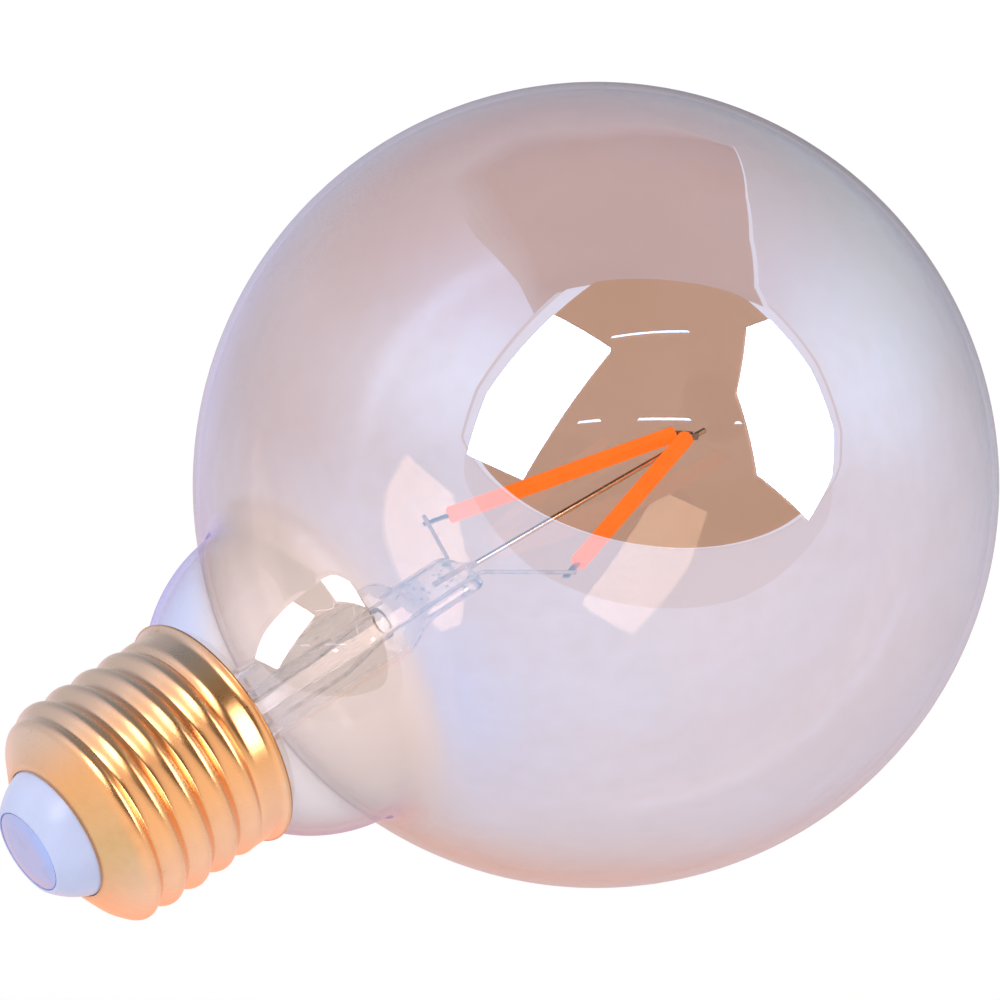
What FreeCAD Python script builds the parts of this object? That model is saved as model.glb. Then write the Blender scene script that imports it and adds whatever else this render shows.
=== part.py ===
"""Globe bulb with two filaments on a glass stem, in a screw cap with its driver.

Frame: the bulb's axis is Z, with the cap up and the globe down, as it hangs in a lamp holder.
The origin is the middle of the centre contact's face. The filaments spread along X, and the post
leans behind them towards +Y.
All lengths are millimetres.
"""

import FreeCAD, Part
import math
import os

from FreeCAD import Vector

# Overall
overall_length = 132.4
neck_length = 11.4
glass_wall = 0.8
seam = 0.03

# Neck of the globe
neck_dome_radius = 18.85
neck_dome_drop = 14.4
neck_radius = 11.2
neck_insertion = 7.6
crease_fillet = 5.5
neck_fillet = 1.6

# Screw cap
cap_height = 26.0
sheet = 0.3
lip_height = 1.2
lip_flare = 0.87
band_radius = 12.9
band_height = 3.9
thread_crest_radius = 13.1
thread_root_radius = 12.13
thread_pitch = 3.629
thread_start_angle = 200.0
thread_top_drop = 8.3
thread_run_in = 0.5
thread_run_out = 0.9
shoulder_radius = 2.0
shell_end_radius = 7.85
shell_end_drop = 4.25

# Insulator and centre contact
insulator_bulge = 0.3
insulator_floor_drop = 6.1
insulator_end_drop = 0.3
insulator_rim = 0.3
insulator_round = 0.2
contact_radius = 4.75
contact_flat = 2.4
contact_dome = 0.35
contact_thickness = 0.6
contact_gap = 0.18
shank_radius = 1.5
shank_bore_radius = 0.8
shank_bore_depth = 3.0
shank_tail = 0.5

# Cement
cement_lift = 1.3

# Stem
stem_radius = 4.6
stem_wall = 0.9
stem_length = 45.0
press_half_width = 4.5
press_half_depth = 1.75
press_height = 7.4
press_shoulder = 3.8
press_edge = 0.45
bead_radius = 1.5
bead_height = 2.4
bead_waist_radius = 0.79
bead_waist_drop = 0.96
exhaust_radius = 2.0
exhaust_wall = 0.65
exhaust_tail = 3.6

# Filament mount
post_radius = 0.35
post_length = 39.1
post_root = 4.0
post_lean = 2.8
lead_radius = 0.25
lead_offset = 3.15
lead_bend = 0.9
lead_overshoot = 1.2
lead_stem_offset = 3.0
lead_stem_side = 1.2
lead_settle = 9.0
lead_rise = 1.6
filament_radius = 1.0
filament_length = 29.4
filament_end_round = 0.35
filament_lower_offset = 12.0
filament_end_lift = 3.65
filament_front = 1.0
tab_width = 0.8
tab_thickness = 0.2
lower_tab_length = 3.2
upper_weld_lift = 1.6

# Driver inside the cap
board_radius = 9.4
board_thickness = 1.0
board_lift = 6.6
rectifier_length = 4.7
rectifier_width = 3.9
rectifier_height = 2.4
rectifier_offset = 5.0
chip_length = 4.9
chip_width = 3.9
chip_height = 1.5
chip_offset = 4.6
component_row = 3.7
component_chamfer = 0.3
capacitor_radius = 2.5
capacitor_length = 9.0
capacitor_row = 5.6
capacitor_edge = 0.5
capacitor_pitch = 2.0
resistor_radius = 1.1
resistor_length = 5.5
resistor_row = 4.45
resistor_edge = 0.4
wire_radius = 0.3
wire_bend = 0.7
resistor_foot = 8.3
shell_wire_offset = 8.2
shell_wire_lift = 1.6
solder_gap = 0.05

# Sizes and levels worked out from the values above
globe_radius = (overall_length - cap_height - neck_length) / 2
globe_centre = globe_radius - overall_length
rim_level = -cap_height
neck_top = rim_level + neck_insertion
dome_centre = rim_level - neck_dome_drop
press_end = neck_top - stem_length
press_start = press_end + press_height
shoulder_start = press_start + press_shoulder
post_way = Vector(0, math.sin(math.radians(post_lean)), -math.cos(math.radians(post_lean)))
post_end = press_end + post_way.z * post_length
board_level = neck_top + board_lift
board_top = board_level + board_thickness
thread_mean_radius = (thread_crest_radius + thread_root_radius) / 2
thread_depth = (thread_crest_radius - thread_root_radius) / 2
thread_bottom = rim_level + band_height
thread_top = -thread_top_drop
shell_end = -shell_end_drop
insulator_floor = -insulator_floor_drop
shell_bore = thread_root_radius - sheet


def at(radius, level):
    """Point of the XZ half plane at a radius from the axis and a level."""
    return Vector(radius, 0, level)


def line(start, end):
    return Part.LineSegment(start, end).toShape()


def arc(start, middle, end):
    return Part.Arc(start, middle, end).toShape()


def outline(points):
    """Straight edges through the points and back to the first."""
    return [line(a, b) for a, b in zip(points, points[1:] + points[:1])]


def turned(edges):
    """Solid of revolution about the bulb's axis."""
    face = Part.Face(Part.Wire(edges))
    return face.revolve(Vector(0, 0, 0), Vector(0, 0, 1), 360)


def ring_edges(solid, radius, level):
    """Round edges of a turned solid at one radius and level."""
    found = []
    for edge in solid.Edges:
        if edge.Degenerated or not isinstance(edge.Curve, Part.Circle):
            continue
        curve = edge.Curve
        if abs(curve.Radius - radius) < 1e-4 and abs(curve.Center.z - level) < 1e-4:
            found.append(edge)
    return found


def wire_through(points, radius, bend):
    """Round wire along straight runs, joined by arcs of one bend radius."""
    edges = []
    start = points[0]
    for before, corner, after in zip(points, points[1:], points[2:]):
        back = (before - corner).normalize()
        ahead = (after - corner).normalize()
        half_angle = back.getAngle(ahead) / 2
        reach = bend / math.tan(half_angle)
        middle_way = (back + ahead).normalize()
        middle = corner + middle_way * (bend / math.sin(half_angle) - bend)
        edges.append(line(start, corner + back * reach))
        edges.append(arc(corner + back * reach, middle, corner + ahead * reach))
        start = corner + ahead * reach
    edges.append(line(start, points[-1]))
    path = Part.Wire(edges)
    section = Part.Wire(Part.makeCircle(radius, points[0], points[1] - points[0]))
    return path.makePipeShell([section], True, True)


def mirrored(shape):
    """Copy on the other side of the YZ plane."""
    return shape.mirror(Vector(0, 0, 0), Vector(1, 0, 0))


def bulb_form(inset, top):
    """Solid outline of the blown bulb, drawn in by inset and open upwards to a level."""
    ball = globe_radius - inset
    dome = neck_dome_radius - inset
    neck = neck_radius - inset
    spacing = dome_centre - globe_centre
    crease_rise = (spacing**2 + ball**2 - dome**2) / (2 * spacing)
    crease_radius = math.sqrt(ball**2 - crease_rise**2)
    crease_level = globe_centre + crease_rise
    dome_top = dome_centre + math.sqrt(dome**2 - neck**2)
    ball_turn = math.atan2(crease_rise, crease_radius) / 2 - math.pi / 4
    dome_low = math.atan2(crease_level - dome_centre, crease_radius)
    dome_high = math.atan2(dome_top - dome_centre, neck)
    dome_turn = (dome_low + dome_high) / 2
    crown = at(0, globe_centre - ball)
    crease = at(crease_radius, crease_level)
    neck_foot = at(neck, dome_top)
    solid = turned([
        arc(crown, at(ball * math.cos(ball_turn), globe_centre + ball * math.sin(ball_turn)), crease),
        arc(
            crease,
            at(dome * math.cos(dome_turn), dome_centre + dome * math.sin(dome_turn)),
            neck_foot,
        ),
        line(neck_foot, at(neck, top)),
        line(at(neck, top), at(0, top)),
        line(at(0, top), crown),
    ])
    solid = solid.makeFillet(crease_fillet + inset, ring_edges(solid, crease_radius, crease_level))
    return solid.makeFillet(neck_fillet + inset, ring_edges(solid, neck, dome_top))


def glass_globe():
    """Blown globe with its domed neck, open at the top where the stem is sealed in."""
    return bulb_form(0, neck_top).cut(bulb_form(glass_wall, neck_top + glass_wall))


def ellipse_wire(half_width, half_depth, level):
    curve = Part.Ellipse(Vector(0, 0, level), half_width, half_depth)
    return Part.Wire(curve.toShape())


def stem_blank():
    """Flared glass tube, pressed flat at its end, before the wires pass through it."""
    flare_reach = neck_radius - glass_wall - seam - stem_radius
    flare_top = neck_top - stem_wall
    flare_foot = flare_top - flare_reach
    centre = at(stem_radius + flare_reach, flare_foot)
    slant = math.sqrt(0.5)
    bore = stem_radius - stem_wall
    wide = flare_reach + stem_wall
    tube = turned([
        line(at(0, shoulder_start), at(stem_radius, shoulder_start)),
        line(at(stem_radius, shoulder_start), at(stem_radius, flare_foot)),
        arc(
            at(stem_radius, flare_foot),
            centre + at(-slant, slant) * flare_reach,
            centre + at(0, flare_reach),
        ),
        line(centre + at(0, flare_reach), centre + at(0, wide)),
        arc(centre + at(0, wide), centre + at(-slant, slant) * wide, at(bore, flare_foot)),
        line(at(bore, flare_foot), at(bore, shoulder_start + stem_wall)),
        line(at(bore, shoulder_start + stem_wall), at(0, shoulder_start + stem_wall)),
        line(at(0, shoulder_start + stem_wall), at(0, shoulder_start)),
    ])
    narrowing = stem_radius - press_half_width
    flattening = stem_radius - press_half_depth
    sections = []
    steps = 4
    for step in range(steps + 1):
        fall = step / steps
        eased = fall * fall * (3 - 2 * fall)
        level = shoulder_start - press_shoulder * fall
        sections.append(
            ellipse_wire(stem_radius - narrowing * eased, stem_radius - flattening * eased, level)
        )
    shoulder = Part.makeLoft(sections, True)
    foot = Part.Face(ellipse_wire(press_half_width, press_half_depth, press_end))
    press = foot.extrude(Vector(0, 0, press_height))
    rim = [edge for edge in press.Edges if edge.BoundBox.ZMax < press_end + seam]
    press = press.makeFillet(press_edge, rim)
    bead = turned([
        line(at(0, press_end + bead_radius), at(bead_radius, press_end + bead_radius)),
        line(at(bead_radius, press_end + bead_radius), at(bead_radius, press_end)),
        arc(
            at(bead_radius, press_end),
            at(bead_waist_radius, press_end - bead_waist_drop),
            at(post_radius + seam, press_end - bead_height),
        ),
        line(at(post_radius + seam, press_end - bead_height), at(0, press_end - bead_height)),
        line(at(0, press_end - bead_height), at(0, press_end + bead_radius)),
    ])
    bead.rotate(at(0, press_end), Vector(1, 0, 0), post_lean)
    return tube.fuse([shoulder, press, bead]).removeSplitter()


def exhaust_tube():
    """Pumping tube down the middle of the stem, sealed to a round tip inside the cap."""
    foot = shoulder_start + stem_wall
    tip = neck_top + exhaust_tail
    bore = exhaust_radius - exhaust_wall
    slant = math.sqrt(0.5)
    crown = tip - exhaust_radius
    return turned([
        line(at(bore, foot), at(exhaust_radius, foot)),
        line(at(exhaust_radius, foot), at(exhaust_radius, crown)),
        arc(
            at(exhaust_radius, crown),
            at(exhaust_radius * slant, crown + exhaust_radius * slant),
            at(0, tip),
        ),
        line(at(0, tip), at(0, tip - exhaust_wall)),
        arc(at(0, tip - exhaust_wall), at(bore * slant, crown + bore * slant), at(bore, crown)),
        line(at(bore, crown), at(bore, foot)),
    ])


def support_post():
    """Stiff wire from the press that leans back a little and carries both filaments in front of it."""
    root = at(0, press_end) - post_way * post_root
    return Part.makeCylinder(post_radius, post_length + post_root, root, post_way)


def post_middle(level):
    """Point on the post's axis at a level."""
    return at(0, press_end) + post_way * ((level - press_end) / post_way.z)


# Line of the filament on the +X side, from its end near the press to its end beside the post
filament_top = post_end + filament_end_lift
filament_stop = post_middle(filament_top) + Vector(filament_radius + seam, -filament_front, 0)
filament_run = filament_lower_offset - filament_stop.x
filament_fall = math.sqrt(filament_length**2 - filament_run**2 - filament_stop.y**2)
filament_way = Vector(-filament_run, filament_stop.y, -filament_fall).normalize()
filament_start = filament_stop - filament_way * filament_length
weld_point = filament_start - filament_way * (lower_tab_length - lead_radius * 2)
lead_side = weld_point.y - lead_radius - tab_thickness / 2 - seam


def filament():
    """Coated rod of light-emitting chips with softly rounded ends."""
    rod = Part.makeCylinder(filament_radius, filament_length, filament_start, filament_way)
    ends = [edge for edge in rod.Edges if isinstance(edge.Curve, Part.Circle)]
    return rod.makeFillet(filament_end_round, ends)


def tab(start, end, facing):
    """Flat metal strip between two points, with its thickness towards the facing direction."""
    way = (end - start).normalize()
    thick = (facing - way * way.dot(facing)).normalize() * tab_thickness
    half = way.cross(thick).normalize() * (tab_width / 2)
    corners = [start - half, start + half, end + half, end - half]
    strip = Part.Face(Part.Wire(outline(corners)))
    strip.translate(thick * -0.5)
    return strip.extrude(thick)


def lower_tab():
    return tab(filament_start, filament_start - filament_way * lower_tab_length, Vector(0, 1, 0))


def upper_tab():
    """Strip from the filament's end to the side of the post."""
    weld = post_middle(post_end + upper_weld_lift) + at(post_radius + seam + tab_thickness / 2, 0)
    return tab(filament_stop, weld, Vector(1, 0, 0)).cut(filament())


def lead_wire():
    """Wire from the driver board down one side of the stem and through the press to a filament."""
    side = Vector(0, lead_side, 0)
    corner = at(lead_offset, press_end - lead_bend) + side
    weld = at(weld_point.x, weld_point.z) + side
    out = (weld - corner).normalize()
    points = [
        Vector(lead_stem_offset, lead_stem_side, board_top),
        Vector(lead_stem_offset, lead_stem_side, shoulder_start + lead_settle),
        at(lead_offset, shoulder_start + lead_rise) + side,
        corner,
        weld + out * lead_overshoot,
    ]
    return wire_through(points, lead_radius, lead_bend)


def cone_slope():
    """Angle from the axis of the cap's cone, which runs from the shoulder's arc to the insulator."""
    rise = shell_end - thread_top
    narrowing = thread_mean_radius - shell_end_radius
    spread = math.hypot(narrowing - shoulder_radius, rise)
    return math.atan2(narrowing - shoulder_radius, rise) + math.asin(shoulder_radius / spread)


def shell_outline():
    """Section of the cap's sheet without its thread, from the lip to the insulator."""
    lip_arc = (lip_flare**2 + lip_height**2) / (2 * lip_flare)
    lip_turn = math.asin(lip_height / lip_arc) / 2
    band_foot = rim_level + lip_height
    band_top = thread_bottom - (band_radius - thread_mean_radius) * 2
    lip_middle = at(
        band_radius + lip_arc * (1 - math.cos(lip_turn)),
        band_foot - lip_arc * math.sin(lip_turn),
    )
    slope = cone_slope()
    shoulder = []
    for turn in (slope / 2, slope):
        shoulder.append(at(
            thread_mean_radius - shoulder_radius * (1 - math.cos(turn)),
            thread_top + shoulder_radius * math.sin(turn),
        ))
    return Part.Wire([
        arc(at(band_radius + lip_flare, rim_level), lip_middle, at(band_radius, band_foot)),
        line(at(band_radius, band_foot), at(band_radius, band_top)),
        line(at(band_radius, band_top), at(thread_mean_radius, thread_bottom)),
        line(at(thread_mean_radius, thread_bottom), at(thread_mean_radius, thread_top)),
        arc(at(thread_mean_radius, thread_top), shoulder[0], shoulder[1]),
        line(shoulder[1], at(shell_end_radius, shell_end)),
    ])


def thread_weight(level):
    """Share of the full thread depth at a level: it fades out within half a pitch of each end."""
    fade = thread_pitch / 2
    low = min(max((level - thread_bottom) / fade + thread_run_in, 0), 1)
    high = min(max((thread_top - level) / fade + thread_run_out, 0), 1)
    share = min(low, high)
    return share * share * (3 - 2 * share)


def smoothing(step_angle):
    """Share of a wave that a cubic spline keeps when its poles are a step angle apart."""
    return (2 + math.cos(step_angle)) / 3


def shell_face(section, row_step):
    """Closed face of the rolled sheet through one section line."""
    columns = 32
    rows = len(section)
    round_share = smoothing(2 * math.pi / columns)
    depth = thread_depth / smoothing(2 * math.pi * row_step / thread_pitch)
    poles = []
    for column in range(columns):
        turn = 2 * math.pi * column / columns
        line_of_poles = []
        for point in section:
            wave = turn - 2 * math.pi * point.z / thread_pitch + math.radians(thread_start_angle)
            radius = (point.x + depth * thread_weight(point.z) * math.cos(wave)) / round_share
            line_of_poles.append(Vector(radius * math.cos(turn), radius * math.sin(turn), point.z))
        poles.append(line_of_poles)
    degree = 3
    around = list(range(columns + 1))
    along = list(range(rows - degree + 1))
    clamped = [degree + 1] + [1] * (len(along) - 2) + [degree + 1]
    surface = Part.BSplineSurface()
    surface.buildFromPolesMultsKnots(
        poles, [1] * len(around), clamped, around, along, True, False, degree, degree
    )
    return surface.toShape()


def rim_edge(face, level):
    """Edge of a rolled face that lies flat at one level."""
    flat = [edge for edge in face.Edges if edge.BoundBox.ZLength < seam]
    return min(flat, key=lambda edge: abs(edge.BoundBox.ZMin - level))


def screw_shell():
    """Cap rolled from sheet metal, with a flared lip and a right-hand round thread."""
    rows = 64
    path = shell_outline()
    row_step = path.Length / (rows - 1)
    outside = path.discretize(Number=rows)
    inside = []
    for index, point in enumerate(outside):
        along = outside[min(index + 1, rows - 1)] - outside[max(index - 1, 0)]
        along.normalize()
        inside.append(point - at(along.z, -along.x) * sheet)
    outer = shell_face(outside, row_step)
    inner = shell_face(inside, row_step)
    rims = []
    for end in (0, -1):
        outer_rim = rim_edge(outer, outside[end].z)
        inner_rim = rim_edge(inner, inside[end].z)
        rims.append(Part.makeRuledSurface(outer_rim, inner_rim))
    skin = Part.makeShell([outer, inner] + rims)
    skin.sewShape()
    solid = Part.makeSolid(skin)
    if solid.Volume < 0:
        solid.reverse()
    return solid


def cap_insulator():
    """Moulded insulator that closes the cap under its cone, with a recess for the contact."""
    slope = cone_slope()
    up_cone = at(-math.sin(slope), math.cos(slope))
    off_cone = at(math.cos(slope), math.sin(slope))
    edge = at(shell_end_radius, shell_end) + up_cone * seam
    under = edge - off_cone * (sheet + seam)
    flange = under - up_cone * ((under.z - insulator_floor) / up_cone.z)
    hole = shank_radius + seam
    recess = contact_radius + contact_gap
    top = at(recess + insulator_rim, -insulator_end_drop)
    middle = (top + edge) * 0.5 + at(math.sqrt(0.5), math.sqrt(0.5)) * insulator_bulge
    body = turned([
        line(at(hole, insulator_floor), at(hole, -contact_thickness)),
        line(at(hole, -contact_thickness), at(recess, -contact_thickness)),
        line(at(recess, -contact_thickness), at(recess, top.z)),
        line(at(recess, top.z), top),
        arc(top, middle, edge),
        line(edge, under),
        line(under, flange),
        line(flange, at(hole, insulator_floor)),
    ])
    return body.makeFillet(insulator_round, ring_edges(body, top.x, top.z))


def centre_contact():
    """Pressed contact: a head domed round its flat middle, on a hollow shank in the insulator."""
    reach = contact_radius - contact_flat
    dome_radius = (reach**2 + contact_dome**2) / (2 * contact_dome)
    turn = math.asin(reach / dome_radius) / 2
    dome_middle = at(
        contact_flat + dome_radius * math.sin(turn), dome_radius * (math.cos(turn) - 1)
    )
    tail = insulator_floor - shank_tail
    bore_end = tail + shank_bore_depth
    return turned([
        line(at(0, bore_end), at(0, 0)),
        line(at(0, 0), at(contact_flat, 0)),
        arc(at(contact_flat, 0), dome_middle, at(contact_radius, -contact_dome)),
        line(at(contact_radius, -contact_dome), at(contact_radius, -contact_thickness)),
        line(at(contact_radius, -contact_thickness), at(shank_radius, -contact_thickness)),
        line(at(shank_radius, -contact_thickness), at(shank_radius, tail)),
        line(at(shank_radius, tail), at(shank_bore_radius, tail)),
        line(at(shank_bore_radius, tail), at(shank_bore_radius, bore_end)),
        line(at(shank_bore_radius, bore_end), at(0, bore_end)),
    ])


def cap_cement():
    """Ring of cement that holds the neck in the cap, thicker in the plain band below the thread."""
    wide = band_radius - sheet - seam
    narrow = shell_bore - seam
    foot = rim_level + cement_lift
    step = thread_bottom - thread_pitch / 4 - wide + narrow
    ring = turned(outline([
        at(neck_radius - glass_wall, foot),
        at(wide, foot),
        at(wide, step),
        at(narrow, step),
        at(narrow, neck_top),
        at(neck_radius - glass_wall, neck_top),
    ]))
    return ring.cut(bulb_form(-seam, neck_top + seam))


def board_hole(x, y, radius):
    """Cutter for a plated hole through the board."""
    return Part.makeCylinder(radius + solder_gap, board_thickness, Vector(x, y, board_level))


def driver_board():
    """Round circuit board across the cap, with a hole for each wire."""
    disc = Part.makeCylinder(board_radius, board_thickness, at(0, board_level))
    pin = capacitor_length / 2 + wire_bend + wire_radius
    holes = [
        board_hole(lead_stem_offset, lead_stem_side, lead_radius),
        board_hole(-lead_stem_offset, lead_stem_side, lead_radius),
        board_hole(0, -resistor_foot, wire_radius),
        board_hole(-shell_wire_offset, 0, wire_radius),
        board_hole(pin, capacitor_row - capacitor_pitch / 2, wire_radius),
        board_hole(pin, capacitor_row + capacitor_pitch / 2, wire_radius),
    ]
    return disc.cut(holes)


def chip_body(offset, row, length, width, height):
    """Moulded component on the board's upper face."""
    corner = Vector(offset - length / 2, row - width / 2, board_top)
    body = Part.makeBox(length, width, height, corner)
    top = [edge for edge in body.Edges if edge.BoundBox.ZMin > board_top + height / 2]
    return body.makeChamfer(component_chamfer, top)


def smoothing_capacitor():
    """Can lying under the board, with two wires bent up into it."""
    level = board_level - capacitor_radius - solder_gap
    end = capacitor_length / 2
    can = Part.makeCylinder(
        capacitor_radius, capacitor_length, Vector(-end, capacitor_row, level), Vector(1, 0, 0)
    )
    rims = [edge for edge in can.Edges if isinstance(edge.Curve, Part.Circle)]
    can = can.makeFillet(capacitor_edge, rims)
    pin = end + wire_bend + wire_radius
    wires = []
    for side in (-capacitor_pitch / 2, capacitor_pitch / 2):
        row = capacitor_row + side
        points = [
            Vector(end - capacitor_edge, row, level),
            Vector(pin, row, level),
            Vector(pin, row, board_top),
        ]
        wires.append(wire_through(points, wire_radius, wire_bend))
    return can.fuse(wires)


def fuse_resistor():
    """Fusible resistor on the board, with one wire up into the contact's shank."""
    level = board_top + resistor_radius + solder_gap
    inner = resistor_length / 2 - resistor_row
    body = Part.makeCylinder(
        resistor_radius, resistor_length, Vector(0, inner - resistor_length, level), Vector(0, 1, 0)
    )
    rims = [edge for edge in body.Edges if isinstance(edge.Curve, Part.Circle)]
    body = body.makeFillet(resistor_edge, rims)
    to_contact = wire_through(
        [
            Vector(0, inner - resistor_edge, level),
            Vector(0, 0, level),
            at(0, insulator_floor - shank_tail + shank_bore_depth / 2),
        ],
        wire_radius,
        wire_bend,
    )
    to_board = wire_through(
        [
            Vector(0, inner - resistor_length + resistor_edge, level),
            Vector(0, -resistor_foot, level),
            Vector(0, -resistor_foot, board_level),
        ],
        wire_radius,
        wire_bend,
    )
    return body.fuse([to_contact, to_board])


def shell_wire():
    """Wire from the board to the inside of the screw shell."""
    level = board_top + shell_wire_lift
    points = [
        at(-shell_wire_offset, board_level),
        at(-shell_wire_offset, level),
        at(-shell_bore + solder_gap, level),
    ]
    return wire_through(points, wire_radius, wire_bend)


nodes = {
    "glass_globe": glass_globe(),
    "screw_shell": screw_shell(),
    "cap_insulator": cap_insulator(),
    "centre_contact": centre_contact(),
    "cap_cement": cap_cement(),
    "exhaust_tube": exhaust_tube(),
    "support_post": support_post(),
    "driver_board": driver_board(),
    "bridge_rectifier": chip_body(
        -rectifier_offset, component_row, rectifier_length, rectifier_width, rectifier_height
    ),
    "driver_chip": chip_body(chip_offset, -component_row, chip_length, chip_width, chip_height),
    "smoothing_capacitor": smoothing_capacitor(),
    "fuse_resistor": fuse_resistor(),
    "shell_wire": shell_wire(),
}
far_pieces = {
    "filament": filament(),
    "lower_tab": lower_tab(),
    "upper_tab": upper_tab(),
    "lead_wire": lead_wire(),
}
for name, shape in far_pieces.items():
    nodes[f"far_{name}"] = shape
    nodes[f"near_{name}"] = mirrored(shape)
buried = [nodes["support_post"], nodes["far_lead_wire"], nodes["near_lead_wire"]]
nodes["glass_stem"] = stem_blank().cut(buried)

os.makedirs("parts", exist_ok=True)
for name, shape in nodes.items():
    solid = shape.Solids[0]
    solid.exportStep(f"parts/{name}.step")
    print(name, len(shape.Solids), solid.isValid(), round(solid.Volume, 2))
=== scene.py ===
import math

import bmesh
import bpy
from bpy.props import FloatProperty, FloatVectorProperty, IntProperty, PointerProperty
from mathutils import Matrix, Vector


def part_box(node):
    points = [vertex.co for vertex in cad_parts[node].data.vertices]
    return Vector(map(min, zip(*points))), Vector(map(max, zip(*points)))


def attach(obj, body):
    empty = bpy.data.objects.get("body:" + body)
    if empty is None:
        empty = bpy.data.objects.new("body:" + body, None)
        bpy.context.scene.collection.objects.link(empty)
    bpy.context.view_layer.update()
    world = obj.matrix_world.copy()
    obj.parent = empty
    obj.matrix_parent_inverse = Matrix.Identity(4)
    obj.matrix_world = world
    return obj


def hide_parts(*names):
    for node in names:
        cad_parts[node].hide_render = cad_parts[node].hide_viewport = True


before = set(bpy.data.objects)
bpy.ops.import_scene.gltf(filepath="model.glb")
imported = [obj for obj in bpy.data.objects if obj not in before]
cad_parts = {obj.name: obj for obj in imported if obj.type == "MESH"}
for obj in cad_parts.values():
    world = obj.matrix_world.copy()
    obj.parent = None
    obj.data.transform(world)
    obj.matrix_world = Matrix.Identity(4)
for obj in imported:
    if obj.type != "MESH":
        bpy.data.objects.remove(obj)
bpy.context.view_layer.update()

bl_info = {
    "name": "Globe Bulb",
    "version": (1, 0, 0),
    "blender": (4, 5, 0),
    "location": "View3D > Sidebar > Bulb",
    "description": "Models and finishes a lustre-coated globe bulb with two filaments and a screw cap",
    "category": "Object",
}

FULL_TURN = 2 * math.pi
CLOSE = 1e-6
SHARP_ANGLE = math.radians(40)
WHITE = (1, 1, 1, 1)
# How much wider a filament is over a chip than between two chips
CHIP_SWELL = 1.012
# Turns at which the rounded edge of the press gets a ring
PRESS_EDGE_TURNS = (math.pi / 6, math.pi / 3, math.pi / 2)
# Rings of the bead: share of its length and share of its radius
BEAD_PROFILE = ((0.15, 0.8), (0.4, 0.52), (0.7, 0.36), (1.0, 0.25))
# Directions of two sides with painted light: the neck's side that passes a paler, bluer tint, and the
# shell's side with a painted grey reflection
PAINTED_LIGHT_SIDE = (0.628, -0.245, 0.739)
GREY_REFLECTION_SIDE = (0.527, -0.848, 0)
GLOBE_LOW, GLOBE_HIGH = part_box("glass_globe")
SHELL_LOW, SHELL_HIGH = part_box("screw_shell")
STEM_LOW, STEM_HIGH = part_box("glass_stem")
TUBE_LOW, TUBE_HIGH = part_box("exhaust_tube")
INSULATOR_LOW, INSULATOR_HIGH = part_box("cap_insulator")


def length(name, description, default):
    """Length property in metres."""
    return FloatProperty(
        name=name, description=description, default=default, min=0.0, unit="LENGTH", precision=5
    )


def level(name, description, default):
    """Level on the bulb's axis, in metres from the contact's face."""
    return FloatProperty(name=name, description=description, default=default, unit="LENGTH", precision=5)


def angle(name, description, degrees):
    """Angle property."""
    return FloatProperty(
        name=name, description=description, default=math.radians(degrees), subtype="ANGLE", unit="ROTATION"
    )


def colour(name, description, default):
    """Linear colour property."""
    return FloatVectorProperty(
        name=name, description=description, default=default, size=3, min=0.0, max=4.0, subtype="COLOR"
    )


def power(name, description, default):
    """Strength of a light."""
    return FloatProperty(name=name, description=description, default=default, min=0.0)


class BulbGlobeSettings(bpy.types.PropertyGroup):
    """Blown globe and its coat."""

    radius: length("Globe radius", "Outer radius of the ball", 0.0475)
    wall: length("Glass wall", "Thickness of the blown glass", 0.0008)
    dome_radius: length("Dome radius", "Radius of the domed neck", 0.01885)
    dome_level: level("Dome level", "Level of the dome's centre", SHELL_LOW.z - 0.0144)
    neck_radius: length("Neck radius", "Radius of the neck inside the cap", 0.0112)
    crease_fillet: length("Crease fillet", "Rounding between ball and dome", 0.0055)
    neck_fillet: length("Neck fillet", "Rounding between dome and neck", 0.0016)
    amber: colour("Amber", "Light that passes the coated wall", (0.715, 0.555, 0.475))
    deep: colour("Deep amber", "Light that passes where the coat is thick", (0.66, 0.495, 0.405))
    lustre: colour("Lustre", "Light that the coat reflects", (0.20, 0.345, 0.535))
    blush: colour("Blush", "Light that the coat reflects where it is thick", (0.24, 0.32, 0.44))
    violet: colour("Violet", "Light that the coat reflects at the globe's edge", (0.69, 0.74, 0.90))
    straw: colour("Straw", "Light that passes at the neck, where the coat thins", (0.97, 0.91, 0.92))
    haze: colour("Haze", "Light that passes the wall at the neck aslant", (0.62, 0.58, 0.58))
    milk: colour("Milk", "Milky bloom on the wall at the neck", (0.85, 0.82, 0.83))
    frost: colour("Frost", "Light that the thin coat reflects at the neck", (0.12, 0.10, 0.12))
    lilac: colour("Lilac", "Light that the thin coat reflects at the neck's edge", (0.62, 0.64, 1.0))
    inside: colour("Inside", "Light that the coat reflects into the globe", (0.022, 0.027, 0.021))
    # Painted light: a paler, bluer tint that the neck passes on one side only
    bloom: colour("Bloom", "Light that passes the bloom on one side of the neck", (0.77, 0.81, 0.97))
    thin_start: length("Thin start", "Depth under the dome's centre where the coat starts to thin", 0.0040)
    thin_end: length("Thin end", "Height over the dome's centre where the coat is thinnest", 0.0014)
    # Where the painted light on one side of the neck starts and where it is full
    painted_light_start: length("Bloom start", "Distance from the dome's centre where the bloom starts", 0.009)
    painted_light_end: length("Bloom end", "Distance from the dome's centre where the bloom is full", 0.0145)


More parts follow.
